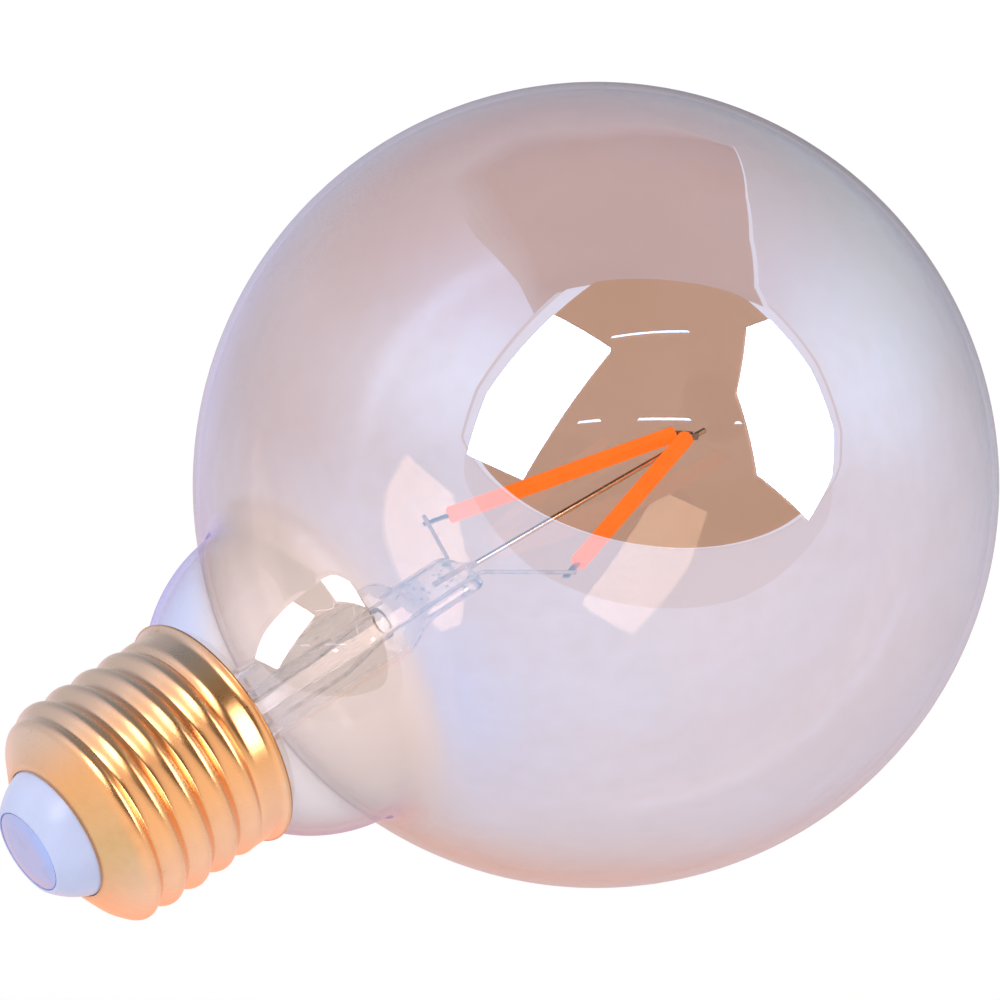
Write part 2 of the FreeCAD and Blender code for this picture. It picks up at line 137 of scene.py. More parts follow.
class BulbStemSettings(bpy.types.PropertyGroup):
    """Glass stem with its press, and the pumping tube."""

    radius: length("Stem radius", "Outer radius of the stem's tube", 0.0046)
    wall: length("Stem wall", "Thickness of the stem's tube", 0.0009)
    shoulder_level: level("Shoulder level", "Level where the tube starts to flatten", TUBE_LOW.z - 0.0009)
    press_level: level("Press level", "Level where the press has its full width", TUBE_LOW.z - 0.0047)
    press_end: level("Press end", "Level of the press's flat end", TUBE_LOW.z - 0.0121)
    press_half_width: length("Press half width", "Half width of the press", 0.0045)
    press_half_depth: length("Press half depth", "Half depth of the press", 0.00175)
    press_edge: length("Press edge", "Rounding of the press's end", 0.00045)
    bead_radius: length("Bead radius", "Radius of the bead at the post's root", 0.0015)
    tube_wall: length("Tube wall", "Thickness of the pumping tube", 0.00065)


class BulbMountSettings(bpy.types.PropertyGroup):
    """Wires and filaments."""

    post_radius: length("Post radius", "Radius of the support post", 0.00035)
    post_round: length("Post round", "Rounding of the post's end", 0.00014)
    post_length: length("Post length", "Length of the post out of the press", 0.0391)
    post_root: length("Post root", "Length of the post in the press", 0.004)
    post_lean: angle("Post lean", "How far the post leans back from the axis", 2.8)
    lead_radius: length("Lead radius", "Radius of each lead wire", 0.00025)
    lead_offset: length("Lead offset", "Distance of a lead from the axis in the press", 0.00315)
    lead_bend: length("Lead bend", "Bend radius of a lead under the press", 0.0009)
    lead_overshoot: length("Lead overshoot", "Length of lead past the weld", 0.0012)
    lead_stem_offset: length("Lead stem offset", "Distance of a lead from the axis in the stem", 0.003)
    lead_stem_side: length("Lead stem side", "How far a lead lies to one side in the stem", 0.0012)
    lead_settle: length("Lead settle", "Height over the shoulder where a lead reaches its side", 0.009)
    lead_rise: length("Lead rise", "Height over the shoulder where a lead starts to its side", 0.0016)
    weld_lift: length("Weld lift", "Distance from a filament's end to its weld", 0.0027)
    filament_radius: length("Filament radius", "Radius of a filament", 0.001)
    filament_length: length("Filament length", "Length of a filament", 0.0294)
    filament_round: length("Filament round", "Rounding of a filament's ends", 0.00035)
    filament_wide: length("Wide offset", "Distance of a filament's wide end from the axis", 0.012)
    filament_gap: length("Filament gap", "Half the room between the filaments' narrow ends", 0.00003)
    tab_thickness: length("Tab thickness", "Thickness of a filament's tab", 0.0002)
    filament_front: length("Filament front", "How far a narrow end lies in front of the post", 0.001)
    end_lift: length("End lift", "Height of a filament's narrow end over the post's end", 0.00365)
    chips: IntProperty(name="Chips", description="Light-emitting chips along a filament", default=28, min=1)
    phosphor: colour("Phosphor", "Colour of the filament's coat", (0.98, 0.23, 0.018))


class BulbCapSettings(bpy.types.PropertyGroup):
    """Screw shell, insulator and contact."""

    sheet: length("Sheet", "Thickness of the shell's sheet metal", 0.0003)
    lip_height: length("Lip height", "Height of the flared lip", 0.0012)
    lip_flare: length("Lip flare", "How far the lip flares out", 0.00087)
    band_radius: length("Band radius", "Radius of the plain band", 0.0129)
    crest_radius: length("Crest radius", "Radius over the thread's crests", 0.0131)
    root_radius: length("Root radius", "Radius in the thread's roots", 0.01213)
    pitch: length("Pitch", "Rise of the thread in one turn", 0.003629)
    start: angle("Thread start", "Turn of the thread about the axis", 200.0)
    thread_bottom: level("Thread bottom", "Level where the thread starts", SHELL_LOW.z + 0.0039)
    thread_top: level("Thread top", "Level where the thread ends", SHELL_HIGH.z - 0.00405)
    shoulder_radius: length("Shoulder radius", "Rounding between thread and cone", 0.002)
    end_radius: length("End radius", "Radius of the cone's small end", 0.00785)
    contact_radius: length("Contact radius", "Radius of the centre contact", 0.00475)
    contact_height: length("Contact height", "Thickness of the contact's head", 0.0006)
    contact_flat: length("Contact flat", "Radius of the contact's flat middle", 0.0024)
    contact_dome: length("Contact dome", "How far the contact's edge lies under its middle", 0.00035)
    contact_gap: length("Contact gap", "Groove between the contact and the insulator's rim", 0.00018)
    rim: length("Insulator rim", "Width of the insulator's rim round the contact", 0.0003)
    rim_round: length("Rim rounding", "Rounding of the insulator's rim", 0.0002)
    shank_radius: length("Shank radius", "Radius of the contact's shank", 0.0015)
    bulge: length("Insulator bulge", "How far the insulator's face bulges", 0.0003)
    gold: colour("Gold", "Colour of the shell", (0.96, 0.46, 0.19))
    # Painted reflections: tones that the shell's gold takes towards its greyer side and towards its rosier
    # side
    faded: colour("Faded", "Colour of the shell's faded side", (0.80, 0.66, 0.59))
    rosy: colour("Rosy", "Colour of the shell's rosy side", (1.0, 0.64, 0.47))
    insulator: colour("Insulator", "Colour of the insulator", (0.62, 0.68, 0.97))
    contact: colour("Contact", "Colour of the centre contact", (0.51, 0.56, 0.93))


class BulbStageSettings(bpy.types.PropertyGroup):
    """Camera, floor and the light tent."""

    lens: FloatProperty(
        name="Lens", description="Focal length", default=150.55, min=1.0, unit="CAMERA", subtype="NONE"
    )
    floor_gap: length("Floor gap", "Room between the globe and the floor", 0.16)
    floor_radius: length("Floor radius", "Radius of the floor", 7.0)
    card_distance: length("Card distance", "Distance of the tent's cards from the globe", 1.3)
    room_light: power("Room light", "Strength of the room's light on the part", 0.85)
    softbox_light: power("Softbox light", "Strength of the two softboxes on the part", 3.0)
    softbox_glare: power("Softbox glare", "Strength of the two softboxes in the glass", 8.5)


class Signal:
    """A node's output that takes part in sums: each sum adds a Math node."""

    def __init__(self, tree, socket):
        self.tree = tree
        self.socket = socket

    def sum(self, operation, first, second):
        """One Math node."""
        return self.tree.node("ShaderNodeMath", {"operation": operation}, {0: first, 1: second})

    def __add__(self, other):
        return self.sum("ADD", self, other)

    def __radd__(self, other):
        return self.sum("ADD", other, self)

    def __sub__(self, other):
        return self.sum("SUBTRACT", self, other)

    def __rsub__(self, other):
        return self.sum("SUBTRACT", other, self)

    def __mul__(self, other):
        return self.sum("MULTIPLY", self, other)

    def __rmul__(self, other):
        return self.sum("MULTIPLY", other, self)

    def __pow__(self, other):
        return self.sum("POWER", self, other)


class Tree:
    """Node tree of one material or of the world."""

    def __init__(self, owner):
        owner.use_nodes = True
        self.nodes = owner.node_tree.nodes
        self.links = owner.node_tree.links
        self.nodes.clear()

    def node(self, kind, settings=None, sockets=None, out=0):
        """Adds a node: its settings come first, then the values or links of its sockets."""
        added = self.nodes.new(kind)
        for name, value in (settings or {}).items():
            setattr(added, name, value)
        for name, value in (sockets or {}).items():
            if isinstance(value, Signal):
                self.links.new(value.socket, added.inputs[name])
            else:
                added.inputs[name].default_value = value
        if not added.outputs:
            return None
        return Signal(self, added.outputs[out])

    def surface(self, shader):
        """Ends the tree with a shader."""
        self.node("ShaderNodeOutputMaterial", sockets={"Surface": shader})

    def spot(self):
        """Object coordinates."""
        return self.node("ShaderNodeTexCoord", out="Object")

    def place(self, scale=(1, 1, 1)):
        """Object coordinates, stretched by a scale."""
        return self.node("ShaderNodeMapping", sockets={"Vector": self.spot(), "Scale": scale})

    def vector(self, operation, sockets, out="Value"):
        """One Vector Math node."""
        return self.node("ShaderNodeVectorMath", {"operation": operation}, sockets, out)

    def noise(self, scale, detail=3.0, roughness=0.5, stretch=(1, 1, 1)):
        """Noise over the object coordinates."""
        return self.node(
            "ShaderNodeTexNoise",
            sockets={
                "Vector": self.place(stretch),
                "Scale": scale,
                "Detail": detail,
                "Roughness": roughness,
            },
        )

    def band(self, signal, low, high):
        """0 under low, 1 over high and a smooth change between."""
        return self.node(
            "ShaderNodeMapRange",
            {"interpolation_type": "SMOOTHSTEP"},
            {"Value": signal, "From Min": low, "From Max": high},
        )

    def mix(self, factor, first, second):
        """Mix of two colours, given as colours or links."""
        return self.node(
            "ShaderNodeMix",
            {"data_type": "RGBA"},
            {"Factor": factor, 6: first, 7: second},
            out=2,
        )

    def blend(self, factor, first, second):
        """Mix of two shaders."""
        return self.node("ShaderNodeMixShader", sockets={0: factor, 1: first, 2: second})

    def bump(self, height, strength, distance=0.0001):
        """Normal of a fine relief."""
        return self.node(
            "ShaderNodeBump", sockets={"Height": height, "Strength": strength, "Distance": distance}
        )

    def gloss(self, tone, normal=None):
        """Mirror finish in one tone."""
        sockets = {"Color": rgba(tone), "Roughness": 0.0}
        if normal:
            sockets["Normal"] = normal
        return self.node("ShaderNodeBsdfGlossy", sockets=sockets)

    def light(self, tone, strength=1.0):
        """Light in one tone."""
        return self.node("ShaderNodeEmission", sockets={"Color": tone, "Strength": strength})

    def principled(self, sockets):
        """Principled shader."""
        return self.node("ShaderNodeBsdfPrincipled", sockets=sockets)

    def clear(self, tone):
        """See-through finish that tints the light."""
        return self.node("ShaderNodeBsdfTransparent", sockets={"Color": rgba(tone)})

    def backside(self):
        """1 where a surface is seen from its back."""
        return self.node("ShaderNodeNewGeometry", out="Backfacing")

    def along(self, way):
        """Distance along a direction."""
        return self.vector("DOT_PRODUCT", {0: self.spot(), 1: way})

    def grazing(self, steepness=4):
        """Rises steeply from 0 where the surface is seen straight on to 1 at its edge."""
        facing = self.node("ShaderNodeLayerWeight", sockets={"Blend": 0.5}, out="Facing")
        return facing**steepness

    def height(self):
        """Level along the bulb's axis."""
        return self.node("ShaderNodeSeparateXYZ", sockets={"Vector": self.spot()}, out="Z")

    def radius(self):
        """Distance from the bulb's axis."""
        return self.vector("LENGTH", {0: self.place((1, 1, 0))})


def rgba(value, factor=1.0):
    """Colour with full alpha, scaled by a factor."""
    return (value[0] * factor, value[1] * factor, value[2] * factor, 1.0)


def finish(name):
    """New material and its node tree."""
    material = bpy.data.materials.new(name)
    return material, Tree(material)


def lustre_coat(settings):
    """Thin oxide coat: it passes amber light, reflects a lavender lustre and thins at the neck. On one side
    of the neck it passes a paler, bluer painted light.
    """
    material, tree = finish("lustre_coat")
    centre = settings.dome_level
    neck = tree.band(tree.height(), centre - settings.thin_start, centre + settings.thin_end)
    thick = 0.6 * tree.band(tree.noise(24, 3, 0.55, (1.0, 1.0, 0.3)), 0.44, 0.68)
    waves = tree.bump(tree.noise(60, 1) * (0.03 + 0.3 * neck), 1.0, 0.0004)
    sheen = tree.blend(thick, tree.gloss(settings.lustre, waves), tree.gloss(settings.blush, waves))
    sheen = tree.blend(neck, sheen, tree.gloss(settings.frost, waves))
    sheen = tree.blend(tree.backside(), sheen, tree.gloss(settings.inside, waves))
    amber = tree.blend(thick, tree.clear(settings.amber), tree.clear(settings.deep))
    straw = tree.blend(tree.grazing(1), tree.clear(settings.straw), tree.clear(settings.haze))
    milk = tree.node("ShaderNodeBsdfDiffuse", sockets={"Color": rgba(settings.milk)})
    amber = tree.blend(neck, amber, tree.blend(0.2, straw, milk))
    # Painted light: on one side of the neck, along a fixed direction, the wall passes a paler, bluer tint
    shift = centre * PAINTED_LIGHT_SIDE[2]
    bloom = tree.band(tree.along(PAINTED_LIGHT_SIDE), shift + settings.painted_light_start, shift + settings.painted_light_end)
    amber = tree.blend(neck * bloom, amber, tree.clear(settings.bloom))
    coat = tree.node("ShaderNodeAddShader", sockets={0: amber, 1: sheen})
    rim = tree.blend(neck, tree.gloss(settings.violet), tree.gloss(settings.lilac))
    tree.surface(tree.blend(tree.grazing(), coat, rim))
    return material


def bare_glass():
    """Uncoated thin glass: clear straight on and bright at its edges."""
    material, tree = finish("bare_glass")
    smears = tree.band(tree.noise(60, 3), 0.5, 0.8)
    cover = 0.03 + 0.6 * tree.grazing() + smears * 0.01
    tree.surface(tree.blend(cover, tree.clear((1, 1, 1)), tree.gloss((1, 1, 1))))
    return material


def stem_glass(settings):
    """Drawn glass: clear, with ripples that catch the light and bright edges, and seedy at its press."""
    material, tree = finish("stem_glass")
    shoulder = settings.shoulder_level
    press = 1 - tree.band(tree.height(), shoulder - 0.002, shoulder + 0.002)
    ripples = tree.noise(420, 2, 0.5, (1, 1, 0.3))
    waves = tree.bump(ripples, 0.5, 0.0004)
    clear = tree.principled({
        "Base Color": tree.mix(press, (0.97, 0.98, 1.0, 1), (0.92, 0.93, 1.0, 1)),
        "Roughness": 0.0,
        "IOR": 1.1,
        "Transmission Weight": 1.0,
    })
    seeds = tree.band(tree.noise(900, 2), 0.68 - 0.06 * press, 0.74 - 0.06 * press)
    cover = 0.07 + 0.5 * tree.grazing(3) + (0.4 + 0.3 * press) * seeds
    tree.surface(tree.blend(cover, clear, tree.gloss((1, 1, 1), waves)))
    return material


def brass(settings):
    """Gold-lacquered sheet with a satin sheen, brown along its cut lip. Painted shade darkens the thread's
    roots to the same brown, and painted reflections turn one side greyer and the other rosier.
    """
    material, tree = finish("lacquered_brass")
    spots = tree.noise(420, 5, 0.6)
    patches = tree.noise(90, 3, 0.55)
    lines = tree.noise(300, 3, 0.6, (0.2, 0.2, 4.0))
    height = tree.height()
    low, high = settings.thread_bottom, settings.thread_top
    thread = tree.band(height, low - 0.0008, low)
    thread = thread * (1 - tree.band(height, high - 0.0002, high + 0.0006))
    floor = 1 - tree.band(tree.radius(), settings.root_radius, settings.root_radius + 0.00028)
    lip = 1 - tree.band(height, SHELL_LOW.z + 0.0001, SHELL_LOW.z + 0.0005)
    dull = tree.band(patches * 0.6 + spots * 0.4, 0.45, 0.66)
    tone = tree.mix(dull, rgba(settings.gold), rgba(settings.gold, 0.90))
    # Painted reflections: the gold turns greyer towards one side and rosier towards the other
    side = tree.along(GREY_REFLECTION_SIDE)
    tone = tree.mix(tree.band(side, 0.003, 0.0125) * 0.85, tone, rgba(settings.faded))
    tone = tree.mix(tree.band(0 - side, 0.004, 0.0125) * 0.7, tone, rgba(settings.rosy))
    # Painted shade: the thread's roots turn brown; the same brown runs along the lip's bottom edge
    tone = tree.mix((thread * floor + lip) * 0.75, tone, (0.52, 0.20, 0.05, 1.0))
    freckles = tree.band(spots, 0.66, 0.74)
    tone = tree.mix(freckles * 0.3, tone, (0.45, 0.22, 0.07, 1.0))
    shader = tree.principled({
        "Base Color": tone,
        "Metallic": 0.85,
        "Roughness": 0.27 + 0.10 * dull + 0.10 * freckles,
        "Normal": tree.bump(lines * 0.7 + spots * 0.3, 0.06),
    })
    tree.surface(shader)
    return material


def moulding(settings):
    """Glazed pale insulator with a faint mottle."""
    material, tree = finish("pale_moulding")
    mottle = tree.band(tree.noise(160, 4), 0.35, 0.7)
    grain = tree.noise(1500, 3)
    tone = tree.mix(mottle, rgba(settings.insulator), rgba(settings.insulator, 0.93))
    shader = tree.principled({
        "Base Color": tone,
        "Roughness": 0.34 + 0.12 * mottle,
        "Coat Weight": 0.15,
        "Coat Roughness": 0.2,
        "Normal": tree.bump(grain, 0.05),
    })
    tree.surface(shader)
    return material


def worn_contact(settings):
    """Tinned contact, smooth with faint turned rings and a few rubs."""
    material, tree = finish("tinned_contact")
    rings = tree.node("ShaderNodeMath", {"operation": "SINE"}, {0: tree.radius() * 21000})
    rubs = tree.band(tree.noise(260, 3, 0.55), 0.5, 0.75)
    tone = tree.mix(rubs, rgba(settings.contact), rgba(settings.contact, 0.92))
    shader = tree.principled({
        "Base Color": tone,
        "Metallic": 0.7,
        "Roughness": 0.24 + 0.08 * rubs,
        "Normal": tree.bump(rings * 0.2 + rubs, 0.02),
    })
    tree.surface(shader)
    return material


def phosphor_coat(settings):
    """Silicone with grainy orange phosphor, whose brightness changes softly along the rod. The coat also
    gives off painted orange light, as if the filaments were lit.
    """
    material, tree = finish("phosphor_coat")
    grains = tree.noise(2600, 3, 0.6)
    along = tree.noise(300, 2)
    tone = tree.mix(
        tree.band(grains * 0.6 + along * 0.4, 0.35, 0.7),
        rgba(settings.phosphor),
        (1.0, 0.30, 0.03, 1.0),
    )
    # Painted light: the coat gives off orange light of its own, as if the filaments were lit
    glow = tree.mix(along, rgba(settings.phosphor, 0.8), rgba(settings.phosphor, 1.0))
    shader = tree.principled({
        "Base Color": tone,
        "Roughness": 0.38 + 0.2 * grains,
        "Emission Color": glow,
        "Emission Strength": 1.0,
        "Normal": tree.bump(grains, 0.1),
    })
    tree.surface(shader)
    return material


def speckled(name, light, dark, scale, metallic, roughness, relief):
    """Plain solid finish: two tones in a noise, with roughness and relief from it."""
    material, tree = finish(name)
    mottle = tree.band(tree.noise(scale, 4, 0.6), 0.35, 0.68)
    fine = tree.noise(scale * 6, 3)
    shader = tree.principled({
        "Base Color": tree.mix(mottle, (*light, 1.0), (*dark, 1.0)),
        "Metallic": metallic,
        "Roughness": roughness + 0.15 * mottle,
        "Normal": tree.bump(fine, relief),
    })
    tree.surface(shader)
    return material


class Section:
    """Half section of a turned piece, drawn in the XZ plane from point to point."""

    def __init__(self, x, z):
        self.mesh = bmesh.new()
        self.tip = self.mesh.verts.new((x, 0, z))

    def line(self, x, z, parts=1):
        """Straight run to a point, in equal parts."""
        start = self.tip.co.copy()
        for part in range(1, parts + 1):
            made = bmesh.ops.extrude_vert_indiv(self.mesh, verts=[self.tip])
            self.tip = made["verts"][0]
            self.tip.co = start.lerp(Vector((x, 0, z)), part / parts)
        return self

    def arc(self, x, z, turn, steps):
        """Arc about a centre: a positive turn goes from +X towards +Z."""
        made = bmesh.ops.spin(
            self.mesh,
            geom=[self.tip],
            cent=(x, 0, z),
            axis=(0, -1, 0),
            angle=turn,
            steps=steps,
        )
        self.tip = [item for item in made["geom_last"] if isinstance(item, bmesh.types.BMVert)][0]
        return self

    def turned(self, steps):
        """Spins the section once round the bulb's axis and points its faces outwards."""
        bm = self.mesh
        bmesh.ops.spin(
            bm,
            geom=bm.verts[:] + bm.edges[:],
            cent=(0, 0, 0),
            axis=(0, 0, 1),
            angle=FULL_TURN,
            steps=steps,
            use_merge=True,
        )
        bmesh.ops.remove_doubles(bm, verts=bm.verts[:], dist=CLOSE)
        bmesh.ops.dissolve_degenerate(bm, dist=CLOSE, edges=bm.edges[:])
        bmesh.ops.recalc_face_normals(bm, faces=bm.faces[:])
        return bm


def ease(value):
    """Smooth step from 0 to 1."""
    value = min(max(value, 0), 1)
    return value * value * (3 - 2 * value)


def piece(name, bm, materials, nodes):
    """Makes a bmesh a piece of the part, which stands for CAD nodes and takes a slot's finish."""
    mesh = bpy.data.meshes.new(name)
    bm.to_mesh(mesh)
    bm.free()
    for material in materials:
        mesh.materials.append(material)
    mesh.shade_smooth()
    mesh.set_sharp_from_angle(angle=SHARP_ANGLE)
    made = bpy.data.objects.new(name, mesh)
    bpy.context.scene.collection.objects.link(made)
    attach(made, "root")
    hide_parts(*nodes)
    return made


def dress(node, material):
    """Gives a CAD node a better finish."""
    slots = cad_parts[node].data.materials
    slots.clear()
    slots.append(material)


def grown(made, kind):
    """Items of one kind in the geometry that an operator made."""
    return [item for item in made["geom"] if isinstance(item, kind)]


class Wire:
    """Round wire that is drawn on by straight runs and bends."""

    def __init__(self, bm, start, way, radius, segments=12):
        self.mesh = bm
        self.way = way.normalized()
        self.spot = start.copy()
        turn = self.way.to_track_quat("Z", "Y").to_matrix().to_4x4()
        made = bmesh.ops.create_circle(
            bm,
            cap_ends=True,
            radius=radius,
            segments=segments,
            matrix=Matrix.Translation(start) @ turn,
        )
        self.ring = list({edge for vert in made["verts"] for edge in vert.link_edges})

    def run(self, distance):
        """Straight run ahead."""
        made = bmesh.ops.extrude_edge_only(self.mesh, edges=self.ring)
        bmesh.ops.translate(self.mesh, verts=grown(made, bmesh.types.BMVert), vec=self.way * distance)
        self.ring = grown(made, bmesh.types.BMEdge)
        self.spot += self.way * distance
        return self

    def bend(self, towards, radius, steps=6):
        """Bend into a new direction."""
        axis = self.way.cross(towards).normalized()
        turn = self.way.angle(towards)
        centre = self.spot + axis.cross(self.way) * radius
        made = bmesh.ops.spin(self.mesh, geom=self.ring, cent=centre, axis=axis, angle=turn, steps=steps)
        self.ring = [item for item in made["geom_last"] if isinstance(item, bmesh.types.BMEdge)]
        swing = Matrix.Rotation(turn, 3, axis)
        self.spot = centre + swing @ (self.spot - centre)
        self.way = towards.normalized()
        return self

    def end(self):
        """Closes the wire's cut end."""
        bmesh.ops.edgeloop_fill(self.mesh, edges=self.ring)
        bmesh.ops.recalc_face_normals(self.mesh, faces=self.mesh.faces[:])
        return self.mesh


def drawn_wire(corners, radius, bend):
    """Wire along straight runs between corners, with one bend radius."""
    ways = [(end - start).normalized() for start, end in zip(corners, corners[1:])]
    wire = Wire(bmesh.new(), corners[0], ways[0], radius)
    for corner, way, after in zip(corners[1:], ways, ways[1:]):
        wire.run((corner - wire.spot).length - bend * math.tan(way.angle(after) / 2))
        wire.bend(after, bend)
    wire.run((corners[-1] - wire.spot).length)
    return wire.end()


def rounded(bm, edges, radius, segments):
    """Rounds the edges of a mesh."""
    bmesh.ops.bevel(
        bm,
        geom=edges,
        offset=radius,
        affect="EDGES",
        segments=segments,
        profile=0.5,
        material=-1,
    )
    return bm


def mirror(bm):
    """Puts a mesh on the other side of the YZ plane."""
    bmesh.ops.scale(bm, verts=bm.verts[:], vec=(-1, 1, 1))
    bmesh.ops.reverse_faces(bm, faces=bm.faces[:])


def post_line(mount, stem):
    """Point where the post leaves the press, and the post's direction."""
    way = Vector((0, math.sin(mount.post_lean), -math.cos(mount.post_lean)))
    return Vector((0, 0, stem.press_end)), way


def filament_line(mount, stem):
    """Wide end and direction of the filament on the +X side."""
    press, down = post_line(mount, stem)
    beside = press + down * (mount.post_length + mount.end_lift / down.z)
    narrow = beside + Vector((mount.filament_radius + mount.filament_gap, -mount.filament_front, 0))
    run = mount.filament_wide - narrow.x
    fall = math.sqrt(mount.filament_length**2 - run**2 - narrow.y**2)
    way = Vector((-run, narrow.y, -fall)).normalized()
    return narrow - way * mount.filament_length, way


class BULB_OT_globe(bpy.types.Operator):
    """Blow the globe with its domed neck and coat it"""

    bl_idname = "bulb.globe"
    bl_label = "Globe"

    def execute(self, context):
        settings = context.scene.bulb_globe
        ball = settings.radius
        dome = settings.dome_radius
        neck = settings.neck_radius
        crease = settings.crease_fillet
        collar = settings.neck_fillet
        ball_level = GLOBE_LOW.z + ball
        dome_level = settings.dome_level
        wide, narrow = ball + crease, dome + crease
        crease_level = (wide**2 - narrow**2) / (2 * (dome_level - ball_level))
        crease_level += (ball_level + dome_level) / 2
        crease_reach = math.sqrt(wide**2 - (crease_level - ball_level) ** 2)
        collar_level = dome_level + math.sqrt((dome + collar) ** 2 - (neck + collar) ** 2)
        ball_turn = math.atan2(crease_level - ball_level, crease_reach)
        dome_start = math.atan2(crease_level - dome_level, crease_reach)
        dome_end = math.atan2(collar_level - dome_level, neck + collar)
        outline = Section(0, GLOBE_LOW.z)
        outline.arc(0, ball_level, ball_turn + math.pi / 2, 96)
        outline.arc(crease_reach, crease_level, dome_start - ball_turn, 18)
        outline.arc(0, dome_level, dome_end - dome_start, 24)
        outline.arc(neck + collar, collar_level, -dome_end, 8)
        outline.line(neck, GLOBE_HIGH.z, 4)
        bm = outline.turned(160)
        made = bmesh.ops.solidify(bm, geom=bm.faces[:], thickness=settings.wall)
        for face in grown(made, bmesh.types.BMFace):
            face.material_index = 1
        glass = [lustre_coat(settings), bare_glass()]
        piece("blown_globe", bm, glass, ["glass_globe"])
        return {"FINISHED"}


class BULB_OT_stem(bpy.types.Operator):
    """Draw the stem's tube, press it flat and put the pumping tube in it"""

    bl_idname = "bulb.stem"
    bl_label = "Stem"

    def execute(self, context):
        settings = context.scene.bulb_stem
        glass = stem_glass(settings)
        stem = self.stem(settings, context.scene.bulb_mount)
        piece("stem_press", stem, [glass], ["glass_stem"])
        piece("pump_tube", self.pump_tube(settings), [glass], ["exhaust_tube"])
        return {"FINISHED"}

    def stem(self, settings, mount):
        """Flared tube whose lower end is pressed flat, with a bead round the post."""
        radius, wall = settings.radius, settings.wall
        bore = radius - wall
        reach = STEM_HIGH.x - radius
        foot = STEM_HIGH.z - wall - reach
        outline = Section(0, settings.shoulder_level + wall)
        outline.line(bore, settings.shoulder_level + wall, 2)
        outline.line(bore, foot, 6)
        outline.arc(radius + reach, foot, -math.pi / 2, 12)
        outline.line(radius + reach, STEM_HIGH.z - wall)
        outline.arc(radius + reach, foot, math.pi / 2, 12)
        outline.line(radius, settings.shoulder_level, 6)
        bm = outline.turned(48)
        ring = [edge for edge in bm.edges if edge.is_boundary]
        edge = settings.press_edge
        stations = []
        steps = 6
        for step in range(1, steps + 1):
            fall = step / steps
            eased = ease(fall)
            stations.append((
                radius + (settings.press_half_width - radius) * eased,
                radius + (settings.press_half_depth - radius) * eased,
                settings.shoulder_level + (settings.press_level - settings.shoulder_level) * fall,
            ))
        wide, deep, end = settings.press_half_width, settings.press_half_depth, settings.press_end
        stations.append((wide, deep, end + edge))
        for turn in PRESS_EDGE_TURNS:
            draw_in = edge * (1 - math.cos(turn))
            stations.append((wide - draw_in, deep - draw_in, end + edge * (1 - math.sin(turn))))
        bead = settings.bead_radius
        drop = end - STEM_LOW.z
        lean = math.tan(mount.post_lean)
        stations.append((bead, min(bead, deep - edge), end))
        for fall, narrowing in BEAD_PROFILE:
            stations.append((bead * narrowing, bead * narrowing, end - drop * fall))
        last = (radius, radius, settings.shoulder_level)
        for station in stations:
            made = bmesh.ops.extrude_edge_only(bm, edges=ring)
            verts = grown(made, bmesh.types.BMVert)
            middle = Matrix.Translation((0, -max(end - last[2], 0) * lean, 0))
            bmesh.ops.scale(
                bm, verts=verts, vec=(station[0] / last[0], station[1] / last[1], 1), space=middle
            )
            sideways = (max(end - station[2], 0) - max(end - last[2], 0)) * lean
            bmesh.ops.translate(bm, verts=verts, vec=(0, sideways, station[2] - last[2]))
            ring = grown(made, bmesh.types.BMEdge)
            last = station
        bmesh.ops.edgeloop_fill(bm, edges=ring)
        bmesh.ops.recalc_face_normals(bm, faces=bm.faces[:])
        return bm

    def pump_tube(self, settings):
        """Open tube, sealed to a round tip in the cap."""
        radius = TUBE_HIGH.x
        bore = radius - settings.tube_wall
        crown = TUBE_HIGH.z - radius
        outline = Section(bore, TUBE_LOW.z)
        outline.line(radius, TUBE_LOW.z)
        outline.line(radius, crown, 6)
        outline.arc(0, crown, math.pi / 2, 10)
        outline.line(0, crown + bore)
        outline.arc(0, crown, -math.pi / 2, 10)
        outline.line(bore, TUBE_LOW.z, 6)
        return outline.turned(32)


